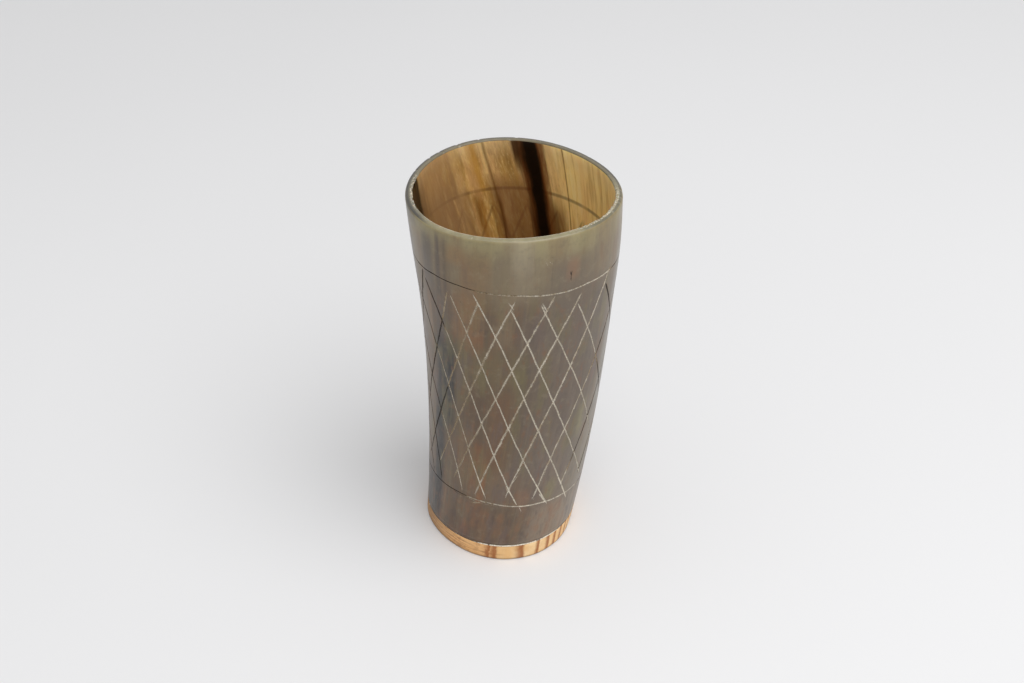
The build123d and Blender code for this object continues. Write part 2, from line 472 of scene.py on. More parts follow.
def ringCut(rng, ring):
    whole = ring["run"] is None
    if whole:
        angles = sheetStart + np.linspace(0, 360, latticeCuts["ringPoints"])
    else:
        first, last = ring["run"]
        length = (last - first) * latticeCuts["perDegree"]
        angles = np.linspace(first, last, int(length / latticeCuts["step"]))
    levels = np.full(len(angles), ring["height"])
    leanX, leanY = (math.tan(math.radians(tilt)) for tilt in ring["tilt"])
    for _ in range(4):                 # the form shifts with height, so the level is found in rounds
        across, away = formPoint(np.radians(angles), levels)
        levels = ring["height"] + leanX * across + leanY * away
    front = frontAngle(angles)
    levels = levels + np.interp(front, ring["wanderAt"], ring["wander"], left=0.0, right=0.0)
    # pale with dust and painted light from the front to the right, dark with stain and painted shade
    # elsewhere
    paleness = smoothShare(front, ring["dustFrom"] - 6, ring["dustFrom"] + 6)
    paleness = paleness * np.clip(0.9 + rng.normal(0, 0.16, len(angles)), 0.3, 1)
    paleness = paleness * (1 - smoothShare(front, *latticeCuts["ringRight"]))
    paleness = paleness * (0.78 + 0.22 * smoothShare(front, -4, 14)) * ring["dusty"]
    paleness = np.maximum(paleness, 0.85 * smoothShare(np.abs(front), *latticeCuts["ringRear"]))
    made = cutLine(rng, angles, levels, ring["width"], ring["depth"], latticeCuts["ringRough"], paleness,
                   not whole, latticeCuts["darkRing"])
    if whole:                          # it meets itself at the back
        for part in ("halves", "depths", "dustAndLight"):
            made[part][-1] = made[part][0]
    return made


def allCuts():
    rng = np.random.default_rng(latticeCuts["seed"])
    cuts = latticeStrokes(rng) + slipCuts(rng) + [ringCut(rng, ring) for ring in latticeCuts["rings"]]
    # copies one turn to each side, so that cuts run on across the sheet's joint
    turn = 2 * math.pi * latticeCuts["flatScale"]
    spare = latticeCuts["joinSpare"]
    copies = []
    for cut in cuts:
        for shift in (-turn, 0.0, turn):
            moved = dict(cut, line=cut["line"] + np.array([shift, 0.0]))
            reach = moved["line"][:, 0]
            if reach.max() > -spare and reach.min() < turn + spare:
                copies.append(moved)
    return copies


def nearCuts(points, cuts, farOff=99.0, blockSize=1500):
    # for each point: depth of cut, scuff beside it, dust of the nearest cut and how far it is from any edge
    depth, scuff, dustAndLight = (np.zeros(len(points)) for _ in range(3))
    clear = np.full(len(points), farOff)
    for cut in cuts:
        line = cut["line"]
        low, high = line.min(0) - latticeCuts["reach"], line.max(0) + latticeCuts["reach"]
        close = np.where(((points > low) & (points < high)).all(1))[0]
        for block in np.array_split(close, max(1, len(close) // blockSize)):
            if not len(block):
                continue
            here = points[block]
            start, run = line[:-1], np.diff(line, axis=0)
            away = here[:, None, :] - start[None]
            share = np.clip((away * run).sum(-1) / (run * run).sum(-1), 0, 1)
            gaps = np.linalg.norm(away - share[..., None] * run, axis=-1)
            best = gaps.argmin(1)
            rows = np.arange(len(block))
            part, gap = share[rows, best], gaps[rows, best]

            def along(values):
                return values[best] * (1 - part) + values[best + 1] * part

            half = along(cut["halves"])
            outside = gap - half
            own = along(cut["depths"]) * np.clip(1 - gap / half, 0, 1)
            depth[block] = np.maximum(depth[block], own)
            beside = np.clip(1 - outside / latticeCuts["margin"], 0, 1) * (0.35 + 0.65 * cut["rough"])
            scuff[block] = np.maximum(scuff[block], beside)
            nearer = outside < clear[block]
            dustAndLight[block] = np.where(nearer, along(cut["dustAndLight"]), dustAndLight[block])
            clear[block] = np.minimum(clear[block], outside)
    return depth, scuff, dustAndLight, clear


rubbing = {"waves": 14, "turns": (2, 15), "pitch": (18, 70)}      # pitch in mm


def unevenness(angles, heights, seed, size):
    # hand-rubbed waviness that closes on itself round the cup
    rng = np.random.default_rng(seed)
    total = np.zeros(len(angles))
    for _ in range(rubbing["waves"]):
        turns, pitch = rng.integers(*rubbing["turns"]), rng.uniform(*rubbing["pitch"])
        total += np.sin(turns * angles + 2 * math.pi * (heights / pitch + rng.random())) / (1 + turns / 6)
    return total * size / 3


# Horn wall: mm and degrees
hornWall = {
    "columns": 480, "gridAcross": 1.4, "gridUp": 2.0, "stagger": 0.35, "gridEdge": 0.5, "gridClear": 0.45,
    "outerRound": 1.2, "innerRound": 0.5, "outerSteps": 6, "innerSteps": 3, "rimRows": 4, "rimStart": 3,
    "insideRows": 46, "outerTwist": 0.15, "innerTwist": 0.30, "seed": 5, "uneven": 0.045, "settleLow": 6.0,
    "settleHigh": 4.0, "fileSeed": 9, "fileMarks": 0.05, "boreSeed": 21, "boreUneven": 0.06,
    "boreSettle": (20, 40, 136, 144),
    # chips along the rim's edges: middle angle, spread and count; then their size, in mm and degrees
    "innerChips": [(-14, 36, 26), (182, 22, 18), (-90, 60, 2), (90, 80, 5)],
    "outerChips": [(-12, 30, 9), (-110, 30, 2), (120, 120, 9)],
    "chipIn": 0.34, "chipDown": 0.30, "chipHalf": (0.5, 1.7), "chipBite": (0.25, 1.0),
    # where each zone starts on the map and how much of the map it takes
    "mapOutside": (0.01, 0.53), "mapRim": (0.555, 0.07), "mapInside": 0.365,
}


def sheetAngles(columns):
    return np.radians(sheetStart) + np.linspace(0, 2 * math.pi, columns + 1)


def gridFaces(first, columns):
    # the strip of faces between one row of points and the next
    step = columns + 1
    return [(c, c + 1, c + step + 1, c + step) for c in range(first, first + columns)]


def cutSheet(cuts, wide, low, high):
    # triangles between the sheet's edges, the cuts and a loose grid; returns points, faces and sharp edges
    columns = np.linspace(0, wide, hornWall["columns"] + 1)
    rows = np.linspace(low, high, int((high - low) / hornWall["gridUp"]) + 1)
    places, links, keep = [], [], []

    def addChain(chain, sharp):
        first = len(places)
        places.extend(map(tuple, chain))
        for index in range(first, len(places) - 1):
            links.append((index, index + 1))
            keep.append(sharp)

    addChain([(x, low) for x in columns], False)
    addChain([(x, high) for x in columns], False)
    addChain([(0.0, y) for y in rows], False)
    addChain([(wide, y) for y in rows], False)
    for cut in cuts:
        addChain(cut["line"], True)
        for offset, sharp in ((cut["halves"], True), (cut["halves"] + latticeCuts["margin"], False)):
            for hand in (-1, 1):
                addChain(cut["line"] + cut["side"] * (hand * offset)[:, None], sharp)
    across = np.arange(hornWall["gridAcross"], wide - hornWall["gridEdge"], hornWall["gridAcross"])
    shifts = (-hornWall["stagger"], hornWall["stagger"])
    grid = np.array([(x + shifts[row % 2], y) for row, y in enumerate(rows[1:-1]) for x in across])
    clear = nearCuts(grid, cuts)[3]
    places.extend(map(tuple, grid[clear > latticeCuts["margin"] + hornWall["gridClear"]]))
    solved = delaunay_2d_cdt([Vector(place) for place in places], links, [], 0, 1e-4)
    points = np.array([tuple(point) for point in solved[0]])
    faces = np.array(solved[2])
    middles = points[faces].mean(1)
    within = (middles > (0, low)) & (middles < (wide, high))
    faces = faces[within.all(1)]
    used = np.unique(faces)
    renumber = np.full(len(points), -1)
    renumber[used] = np.arange(len(used))
    sharp = []
    for (a, b), came in zip(solved[1], solved[4]):
        if renumber[a] >= 0 and renumber[b] >= 0 and any(link < len(keep) and keep[link] for link in came):
            sharp.append((int(renumber[a]), int(renumber[b])))
    return points[used], renumber[faces], sharp


def outsideSheet():
    cuts = allCuts()
    wide = 2 * math.pi * latticeCuts["flatScale"]
    low, high = wallForm["hornEnd"], hornForm["Cup height"] - hornWall["outerRound"]
    points, faces, sharp = cutSheet(cuts, wide, low, high)
    depth, scuff, dustAndLight, _ = nearCuts(points, cuts)
    angles, heights = points[:, 0] / latticeCuts["flatScale"] + math.radians(sheetStart), points[:, 1]
    settle = smoothShare(heights, low, low + hornWall["settleLow"])
    settle = settle * (1 - smoothShare(heights, high - hornWall["settleHigh"], high))
    burr = latticeCuts["burr"] * scuff * (depth <= 0.0)
    inset = depth - burr - unevenness(angles, heights, hornWall["seed"], hornWall["uneven"]) * settle
    mapStart, mapShare = hornWall["mapOutside"]
    print("lattice cut:", len(cuts), "lines,", len(faces), "faces")
    return {
        "points": np.stack([angles, heights, inset], -1), "faces": faces.tolist(), "sharp": sharp,
        "zones": [0] * len(faces), "mapUp": mapStart + mapShare * (heights - low) / (high - low),
        "values": {"cut": depth / latticeCuts["fullDepth"], "scuff": scuff, "dustAndLight": dustAndLight},
    }


def edgeChips(places, rng, columns):
    # how deeply each column of a rim edge is chipped, 0 to 1
    degrees = sheetStart + np.linspace(0, 360, columns + 1)
    chipped = np.zeros(columns + 1)
    for middle, spread, count in places:
        for _ in range(count):
            place, half = middle + rng.normal(0, spread / 2), rng.uniform(*hornWall["chipHalf"])
            gap = np.abs((degrees - place + 180) % 360 - 180)
            bite = rng.uniform(*hornWall["chipBite"]) * np.clip(1 - gap / half, 0, 1) ** 0.6
            chipped = np.maximum(chipped, bite)
    chipped[-1] = chipped[0]
    return chipped


def quarterTurn(steps):
    return [math.pi / 2 * step / steps for step in range(steps + 1)]


def hornRows():
    # the wall's outline from the outer rim edge over and down the bore: inset, height, zone of the strip
    # before it, and how far it lies on the outer (below 0) or inner rim edge
    top, outer, inner = hornForm["Cup height"], hornWall["outerRound"], hornWall["innerRound"]
    wall, bottom = wallAt(top), wallForm["hornEnd"]
    rows = []
    for step, turn in enumerate(quarterTurn(hornWall["outerSteps"])):
        rows.append((outer * (1 - math.cos(turn)), top - outer * (1 - math.sin(turn)),
                     0 if step <= hornWall["rimStart"] else 1, -math.sin(turn)))
    for step in range(1, hornWall["rimRows"]):
        rows.append((outer + (wall - outer - inner) * step / hornWall["rimRows"], top, 1, 0.0))
    for turn in reversed(quarterTurn(hornWall["innerSteps"])):
        rows.append((wall - inner * (1 - math.cos(turn)), top - inner * (1 - math.sin(turn)), 1,
                     math.cos(turn) + 0.4))
    for step in range(1, hornWall["insideRows"] + 1):
        height = top - inner + (bottom - top + inner) * step / hornWall["insideRows"]
        rows.append((wallAt(height), height, 2, 0.0))
    for step in (1, 2):
        rows.append((wallAt(bottom) * (1 - step / 2), bottom, 0, 0.0))
    return rows


def hornSheet():
    sheet = outsideSheet()
    rng = np.random.default_rng(hornWall["seed"])
    columns = hornWall["columns"]
    angles = sheetAngles(columns)
    even = np.ones(columns + 1)
    innerChips = edgeChips(hornWall["innerChips"], rng, columns)
    outerChips = edgeChips(hornWall["outerChips"], rng, columns)
    filed = unevenness(angles, 0 * even, hornWall["fileSeed"], hornWall["fileMarks"])
    rows = hornRows()
    spans = np.cumsum([0] + [math.hypot(b[0] - a[0], b[1] - a[1]) for a, b in zip(rows, rows[1:])])
    zoneList = [zone for _, _, zone, _ in rows]
    rimFrom, rimTo = spans[zoneList.index(1) - 1], spans[zoneList.index(2) - 1]
    mapRim, rimTakes = hornWall["mapRim"]
    first = len(sheet["points"])
    points, wear, share, mapUp, zones, faces = [], [], [], [], [], []
    for index, (inset, height, zone, chip) in enumerate(rows):
        bitten = (innerChips if chip > 0 else outerChips) * min(abs(chip), 1.0)
        insets = inset + hornWall["chipIn"] * bitten * (-1 if chip > 0 else 1)
        heights = height - hornWall["chipDown"] * bitten
        if zone == 1 and abs(chip) < 0.5:
            heights = heights - filed * 0.5
        if zone == 2:
            low, lowFull, highFull, high = hornWall["boreSettle"]
            settle = smoothShare(height, low, lowFull) * (1 - smoothShare(height, highFull, high))
            waves = unevenness(angles, height * even, hornWall["boreSeed"], hornWall["boreUneven"])
            insets = insets + waves * settle
        points.append(np.stack([angles, heights, insets], -1))
        wear.append(bitten)
        share.append(even * np.clip((spans[index] - rimFrom) / (rimTo - rimFrom), 0, 1))
        onRim, down = min(spans[index] / rimTo, 1.0), max(spans[index] - rimTo, 0.0) / (spans[-1] - rimTo)
        mapUp.append(even * (mapRim + rimTakes * onRim + hornWall["mapInside"] * down))
        if index:
            faces += gridFaces(first + (index - 1) * (columns + 1), columns)
            zones += [zone] * columns
    allPoints = np.concatenate([sheet["points"], *points])
    turn, height = allPoints[:, 0], allPoints[:, 1]
    plain = np.zeros(first)
    twists = [hornWall["innerTwist" if zone == 2 else "outerTwist"] for zone in zoneList]
    twist = np.concatenate([plain + hornWall["outerTwist"], np.repeat(twists, columns + 1)])
    lengthwise = turn - np.radians(twist) * (height - hornForm["Cup height"])
    rest = np.zeros(len(allPoints) - first)
    mapAcross = (turn - math.radians(sheetStart)) / (2 * math.pi)
    return {
        "points": allPoints, "faces": sheet["faces"] + faces, "sharp": sheet["sharp"],
        "zones": sheet["zones"] + zones,
        "map": np.stack([mapAcross, np.concatenate([sheet["mapUp"], *mapUp])], -1),
        "values": {
            "fill": np.ones(len(allPoints)),
            "slant": 1 - smoothShare(height, wallForm["hornEnd"], wallForm["slantFade"]),
            **{name: np.concatenate([values, rest]) for name, values in sheet["values"].items()},
            "wear": np.concatenate([plain, *wear]),
            "rimShare": np.concatenate([plain, *share]),
            "around": np.stack([np.cos(turn), np.sin(turn), height], -1),
            "grain": np.stack([np.cos(lengthwise), np.sin(lengthwise), height], -1),
        },
    }


def ringSheet(rows, columns, closed, seed=0, uneven=0.0):
    # a plain sheet from an outline of (inset, height, slant, fill), joined to itself if closed
    angles = sheetAngles(columns)
    even = np.ones(columns + 1)
    rows = list(rows) + ([rows[0]] if closed else [])
    points, fill, slant, mapUp, faces = [], [], [], [], []
    leastStep, meanRadius = 0.15, 28               # mm, for spreading the rows on the map
    steps = [leastStep + math.hypot(b[0] - a[0], b[1] - a[1]) + meanRadius * abs(b[3] - a[3])
             for a, b in zip(rows, rows[1:])]
    spans = np.cumsum([0] + steps)
    for index, (inset, height, lean, drawn) in enumerate(rows):
        level = height * even
        points.append(np.stack([angles, level, inset - unevenness(angles, level, seed, uneven)], -1))
        fill.append(drawn * even)
        slant.append(lean * even)
        mapUp.append(even * (0.01 + 0.98 * spans[index] / spans[-1]))
        if index:
            faces += gridFaces((index - 1) * (columns + 1), columns)
    points = np.concatenate(points)
    mapAcross = (points[:, 0] - math.radians(sheetStart)) / (2 * math.pi)
    return {"points": points, "faces": faces, "zones": [0] * len(faces),
            "map": np.stack([mapAcross, np.concatenate(mapUp)], -1),
            "values": {"fill": np.concatenate(fill), "slant": np.concatenate(slant)}}


def newMaterial(name):
    made = bpy.data.materials.new(name)
    made.use_nodes = True
    made.node_tree.nodes.clear()
    return made, Wire(made.node_tree)


def finishMaterial(board, inputs):
    shader = board.node("ShaderNodeBsdfPrincipled", {}, inputs)
    board.node("ShaderNodeOutputMaterial", {}, {"Surface": shader})


def makeFields(vector, fields):
    # noise patterns along the fibre: cells across, cells along, detail and roughness
    return {name: vector.scaled((across, across, along)).noise(1.0, detail, rough)
            for name, (across, along, detail, rough) in fields.items()}


def layTones(colour, layers, field, masks, look):
    # layers in order: field, where it starts, where it is full, strength, colour and the masks it keeps to
    for name, start, full, strength, shade, *kept in layers:
        share = field[name].rise(start, full) * strength
        for mask in kept:
            share = share * masks[mask]
        colour = share.blend(colour, look[shade])
    return colour


def layStreaks(colour, turn, height, waver, streaks):
    # streaks in order: middle (degrees along the fibre from front or back), half width, soft edge,
    # lowest and highest height, fade, colour and strength
    for middle, half, soft, low, high, fade, shade, strength in streaks:
        gap = abs(turn - middle + waver * (soft * 0.75))
        mask = gap.rise(half + soft * 0.5, half - soft * 0.5) * strength
        mask = mask * height.rise(low - fade / 2, low + fade / 2)
        mask = mask * height.rise(high + fade / 2, high - fade / 2)
        colour = mask.blend(colour, tone(*shade))
    return colour


def spreadAngle(vector, facing):
    # degrees round from the front (-1) or the back (1), and height, from a (cosine, sine, height) value
    cosine, sine, height = vector.split()
    return vector.maths("ARCTAN2", cosine * -facing, sine * facing) * math.degrees(1), height


# Outside of the horn: bands are heights in mm where each starts and is full
hornOutsideLook = {
    "crownHighlight": tone(146, 135, 99), "olive": tone(124, 110, 86), "wall": tone(103, 85, 65),
    "warmBrown": tone(112, 82, 58), "slate": tone(84, 75, 67), "bark": tone(80, 58, 42),
    "pale": tone(150, 138, 112), "dustAndLight": tone(214, 205, 188), "tan": tone(160, 141, 112),
    "stainAndShade": tone(36, 29, 23), "violet": tone(100, 86, 82), "moss": tone(112, 102, 68),
    "rust": tone(124, 82, 52), "ember": tone(136, 92, 60), "dusk": tone(74, 62, 58),
    "roughness": 0.32, "gloss": 0.36, "ior": 1.54, "scratchTwist": 1.7, "scratchScale": 120.0,
    "scratchAlong": 0.0012,
    "bands": {"smooth": (112.0, 128.0), "olive": (114.0, 130.0), "crownHighlight": (132.0, 144.5),
              "belowRim": (132.0, 100.0), "lowBand": (29.0, 23.0), "aboveLow": (28.0, 40.0)},
    "fields": {
        "broad": (1.6, 0.012, 3.0, 0.55), "cloud": (4.42, 0.039, 4.0, 0.55), "band": (9.0, 0.02, 3.0, 0.55),
        "fibre": (26.0, 0.035, 3.0, 0.6), "fine": (70.0, 0.10, 2.0, 0.6), "mottle": (12.0, 0.35, 4.0, 0.55),
        "blotch": (4.5, 0.13, 4.0, 0.55), "tint": (5.5, 0.05, 3.0, 0.55), "patch": (17.0, 0.20, 3.0, 0.6),
        "stains": (9.0, 0.10, 3.0, 0.55), "grit": (95.0, 2.9, 3.0, 0.75),
    },
    "under": [
        ("cloud", 0.46, 0.66, 0.35, "warmBrown"), ("broad", 0.54, 0.70, 0.30, "slate", "belowRim"),
        ("band", 0.52, 0.70, 0.34, "bark", "calm"), ("band", 0.46, 0.30, 0.22, "pale", "calm"),
        ("blotch", 0.50, 0.66, 0.60, "warmBrown", "lowBand"),
        ("blotch", 0.47, 0.34, 0.40, "slate", "lowBand"),
    ],
    "over": [
        ("tint", 0.52, 0.70, 0.50, "violet", "calm"),
        ("tint", 0.48, 0.30, 0.52, "moss", "calm", "aboveLow"),
        ("patch", 0.54, 0.70, 0.36, "rust", "calm"), ("patch", 0.46, 0.30, 0.32, "slate", "calm"),
        ("stains", 0.49, 0.68, 0.36, "ember", "lowBand"), ("stains", 0.48, 0.32, 0.42, "dusk", "lowBand"),
        ("fibre", 0.50, 0.76, 0.24, "slate", "calm"), ("fibre", 0.48, 0.24, 0.13, "pale", "calm"),
        ("fine", 0.56, 0.80, 0.12, "stainAndShade"), ("mottle", 0.54, 0.72, 0.16, "pale"),
        ("mottle", 0.46, 0.30, 0.16, "slate"),
    ],
    "streaks": [
        # grey and greenish right side
        (36, 20, 22, 40, 124, 20, (104, 93, 83), 0.75), (46, 14, 26, -10, 58, 26, (117, 103, 91), 0.8),
        (70, 16, 22, -10, 70, 30, (126, 114, 98), 0.8), (56, 18, 22, -10, 26, 8, (142, 124, 104), 0.6),
        (58, 7, 12, 44, 122, 16, (100, 91, 81), 0.55), (61, 3, 5, 56, 70, 8, (138, 130, 90), 0.5),
        (46, 4, 5, 29, 38, 5, (132, 124, 86), 0.45), (27, 4, 5, 26, 36, 5, (134, 100, 80), 0.45),
        # warm browns in front
        (-24, 8.5, 8, 100, 122, 10, (132, 102, 70), 0.7), (-17, 4, 6, 96, 108, 8, (126, 86, 56), 0.5),
        (0, 5, 6, 102, 128, 8, (128, 109, 84), 0.55), (-14, 7, 9, 66, 84, 14, (96, 72, 52), 0.6),
        (-26, 5, 6, 72, 100, 10, (114, 102, 64), 0.5), (-6, 34, 22, 56, 90, 14, (92, 77, 60), 0.3),
        (10, 6, 7, 84, 100, 10, (102, 94, 66), 0.45), (2, 7, 8, 40, 82, 16, (110, 78, 52), 0.55),
        (-10, 3.5, 5, 34, 56, 8, (122, 78, 44), 0.7), (-20, 5, 6, 34, 60, 10, (124, 98, 70), 0.55),
        (-9, 12, 12, 84, 100, 10, (108, 95, 66), 0.5), (6, 16, 14, 28, 44, 8, (122, 102, 82), 0.45),
        (-3, 2.5, 3, 26, 48, 8, (136, 84, 44), 0.6),
        # dark pair at the left
        (-39.5, 9.5, 7, 58, 100, 14, (36, 36, 37), 0.92), (-45, 6, 6, 10, 66, 14, (31, 31, 31), 0.92),
        # left, up to the rim
        (-42, 5, 6, 98, 120, 10, (92, 83, 77), 0.6), (-50, 4, 5, 120, 141, 8, (92, 82, 71), 0.85),
        (-56, 4, 6, 92, 120, 8, (116, 102, 84), 0.6), (-52, 1.6, 3, 92, 116, 8, (140, 108, 78), 0.5),
        (-39, 5, 6, 114, 142, 8, (108, 90, 72), 0.65), (-41.5, 1.4, 2, 118, 143, 5, (70, 62, 60), 0.6),
        (-36.5, 1, 2, 120, 142, 6, (78, 68, 60), 0.45),
        # band under the rim; the pale streaks at 6 and 8 degrees are a painted highlight near its top
        (-19, 8, 8, 112, 140, 8, (128, 101, 70), 0.6), (33, 12, 12, 116, 136, 8, (106, 94, 80), 0.65),
        (6, 5, 8, 133, 160, 8, (166, 155, 128), 0.55), (-3, 5, 6, 120, 142, 10, (118, 105, 82), 0.45),
        (8, 6, 7, 122, 142, 10, (136, 124, 102), 0.45), (34, 3.5, 5, 128, 136, 5, (136, 104, 78), 0.6),
        (-30, 5, 6, 134, 141, 4, (138, 108, 72), 0.5),
        # below the lower ring
        (-24, 5, 8, 4, 16, 5, (92, 68, 50), 0.6), (-12, 7, 7, 5, 14, 4, (90, 66, 56), 0.6),
        (-3, 5, 7, 14, 26, 6, (120, 82, 56), 0.5), (10, 12, 10, 8, 24, 6, (114, 86, 62), 0.5),
        (-60, 12, 8, 2, 30, 10, (58, 57, 57), 0.8),
        # sides and back; the pale grey streak at 84 degrees is a painted sheen along the right edge,
        # and the dark ones at -73, 150 and -130 degrees above 140 mm are painted shade along the outer rim
        # edge
        (-78, 10, 6, 34, 140, 12, (74, 67, 60), 0.65), (-73, 12, 14, 140, 160, 4, (50, 49, 46), 0.6),
        (84, 11, 8, 62, 132, 14, (140, 138, 130), 0.6), (150, 26, 70, 142, 160, 4, (70, 63, 53), 0.55),
        (-130, 52, 60, 142, 160, 4, (66, 60, 51), 0.55), (166, 5, 7, -10, 160, 5, (28, 20, 14), 0.9),
        (154, 4, 6, -10, 160, 5, (84, 56, 34), 0.6), (112, 12, 12, 20, 122, 20, (86, 74, 62), 0.6),
        (-128, 14, 14, 10, 122, 20, (124, 106, 80), 0.5),
    ],
}


def paintHornOutside():
    look = hornOutsideLook
    made, board = newMaterial("hornOutside")
    grain, cut = board.stored("grain", "Vector"), board.stored("cut")
    scuff, dustAndLight = board.stored("scuff"), board.stored("dustAndLight")
    turn, height = spreadAngle(grain, -1)
    field = makeFields(grain, look["fields"])
    fibre, mottle, grit = field["fibre"], field["mottle"], field["grit"]
    masks = {name: height.rise(*span) for name, span in look["bands"].items()}
    masks["calm"] = 1.0 - 0.65 * masks["smooth"]           # the band under the rim is rubbed smoother
    frayed = field["broad"] + field["cloud"] - 1.0 + (fibre - 0.5) * 1.1
    colour = masks["olive"].blend(look["wall"], look["olive"])
    # painted highlight: the top of the band under the rim is lighter where it catches the light
    colour = masks["crownHighlight"].blend(colour, look["crownHighlight"])
    colour = layTones(colour, look["under"], field, masks, look)
    colour = layStreaks(colour, turn, height, frayed, look["streaks"])
    colour = layTones(colour, look["over"], field, masks, look)
    # fine slanting scratches from rubbing down, kept faint
    across, away, _ = grain.split()
    spin = height * math.radians(look["scratchTwist"])
    spinCos, spinSin = board.maths("COSINE", spin), board.maths("SINE", spin)
    slanted = board.join(across * spinCos - away * spinSin, away * spinCos + across * spinSin,
                         height * look["scratchAlong"])
    rubbed = slanted.noise(look["scratchScale"], 2.0, 0.6).rise(0.62, 0.74) * mottle.rise(0.46, 0.62)
    colour = (rubbed * 0.16).blend(colour, look["pale"])
    # stain and painted shade at the bottom of the cuts, and dust where it has settled, pale with painted
    # light on the lit side
    inCut = cut.rise(0.08, 0.45)
    flakes = scuff.rise(0.2, 0.9) * grit.rise(0.50, 0.62) * dustAndLight
    colour = (inCut * 0.88).blend(colour, look["stainAndShade"])
    packed = (0.44 + 0.52 * grit.rise(0.36, 0.58)).most(dustAndLight.rise(0.94, 1.14))
    filled = inCut * dustAndLight.rise(0.10, 0.50) * packed
    powder = dustAndLight.rise(0.46, 0.92).blend(look["tan"], look["dustAndLight"])
    colour = filled.most(flakes * 0.6).least(1.0).blend(colour, powder)
    rough = look["roughness"] + (fibre - 0.5) * 0.10 + (mottle - 0.5) * 0.14 + rubbed * 0.15
    rough = (rough + inCut * 0.4 + flakes * 0.2).least(0.95)
    bump = board.bump(0.25, fibre * 0.5 + field["fine"] * 0.2 + grit * (inCut + flakes) * 0.8)
    finishMaterial(board, {"Base Color": colour, "Roughness": rough, "Normal": bump, "IOR": look["ior"],
                           "Specular IOR Level": look["gloss"]})
    return made


# Rim of the horn: places are front angles in degrees, as middle, where it ends and where it is full
hornRimLook = {
    "body": tone(136, 128, 98), "light": tone(148, 139, 108), "shade": tone(94, 88, 72),
    "filed": tone(96, 86, 68), "shadedOuterEdge": tone(60, 57, 50), "ridge": tone(132, 121, 96),
    "innerEdgeHighlight": tone(220, 213, 188), "fleck": tone(228, 220, 202), "roughness": 0.30, "ior": 1.54,
    "back": (0.0, 78.0, 112.0), "left": (-88.0, 44.0, 26.0), "right": (74.0, 44.0, 22.0),
    "front": (0.0, 70.0, 40.0), "rightFlecks": (62.0, 36.0, 16.0), "leftFlecks": (-84.0, 26.0, 12.0),
    "fields": {"file": (300.0, 1.0, 2.0, 0.6), "cloud": (9.0, 0.2, 3.0, 0.55)},
    "crumbs": {"grit": (130.0, 11.0, 3.0, 0.7), "clump": (46.0, 4.0, 3.0, 0.6)},
}


def paintHornRim():
    look = hornRimLook
    made, board = newMaterial("hornRim")
    around, share, wear = board.stored("around", "Vector"), board.stored("rimShare"), board.stored("wear")
    across, away, _ = around.split()
    turn, _ = spreadAngle(around, -1)
    field = makeFields(around, look["fields"])
    crumbs = makeFields(board.join(across, away, share), look["crumbs"])
    file, cloud, grit = field["file"], field["cloud"], crumbs["grit"]

    def near(place):
        middle, edge, full = look[place]
        return abs(turn - middle).rise(edge, full)

    # painted shade: the rim is darker at the back and on the left, and darkest on its outer edge there and,
    # less, on the right
    atBack = near("back")
    shadedSide = atBack.most(near("left"))
    colour = cloud.rise(0.35, 0.65).blend(look["body"], look["light"])
    colour = (shadedSide * 0.85).blend(colour, look["shade"])
    colour = (file.rise(0.5, 0.75) * 0.2).blend(colour, look["filed"])
    shadedEdge = shadedSide.most(near("right") * 0.6) * share.rise(0.46, 0.26)
    colour = (shadedEdge * 0.88).blend(colour, look["shadedOuterEdge"])
    broken = 0.4 + 0.6 * cloud.rise(0.36, 0.56)
    colour = (atBack * share.rise(0.52, 0.64) * broken * 0.5).blend(colour, look["ridge"])
    # painted highlight: a pale broken line along the inner edge at the front
    innerEdgeHighlight = share.rise(0.66, 0.76) * near("front")
    colour = (innerEdgeHighlight * broken * 0.85).blend(colour, look["innerEdgeHighlight"])
    flecked = near("rightFlecks") * share.rise(0.30, 0.46)
    flecked = flecked.most(near("leftFlecks") * share.rise(0.46, 0.60))
    flecks = flecked * crumbs["clump"].rise(0.45, 0.54) * grit.rise(0.43, 0.54)
    flecks = flecks.most(wear.rise(0.3, 0.9) * 0.35)
    colour = (flecks * 0.9).blend(colour, look["fleck"])
    rough = look["roughness"] + file * 0.12 + flecks * 0.35
    finishMaterial(board, {"Base Color": colour, "Roughness": rough, "IOR": look["ior"],
                           "Normal": board.bump(0.3, file + grit * flecks),
                           "Subsurface Weight": 0.25, "Subsurface Radius": (1.0, 0.62, 0.3),
                           "Subsurface Scale": 0.0016})
    return made
